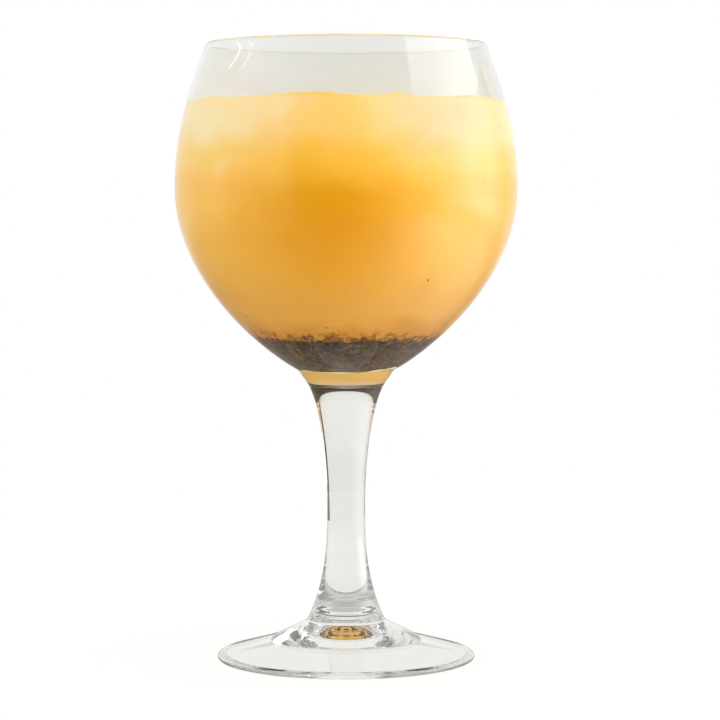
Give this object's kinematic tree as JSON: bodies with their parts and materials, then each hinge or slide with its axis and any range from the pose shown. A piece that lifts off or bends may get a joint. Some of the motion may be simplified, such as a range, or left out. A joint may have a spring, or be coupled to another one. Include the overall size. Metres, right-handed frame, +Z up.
{
  "type": "glass of soda",
  "caption": "Stemmed balloon glass of cloudy orange-yellow iced drink, with floating ice and a layer of dark soaked seeds settled in the bottom of the bowl.",
  "frame": {"origin": "centre of the foot's resting ring, on the surface that the glass stands on", "axes": "+Z up along the stem; -Y towards the side shown first; +X to that side's right"},
  "size_m": [0.1056, 0.1056, 0.19],
  "materials": {
    "clear_glass": "clear, polished, one piece",
    "orange_drink": "cloudy orange-yellow liquid with a wet surface",
    "soaked_seeds": "dark seeds, each in a thin grey jelly coat",
    "ice": "wet ice with melted edges"
  },
  "bodies": {
    "root": {"goblet": "clear_glass", "drink": "orange_drink", "seed_layer": "soaked_seeds", "ice_1": "ice", "ice_2": "ice", "ice_3": "ice", "ice_4": "ice", "ice_5": "ice"}
  },
  "joints": []
}
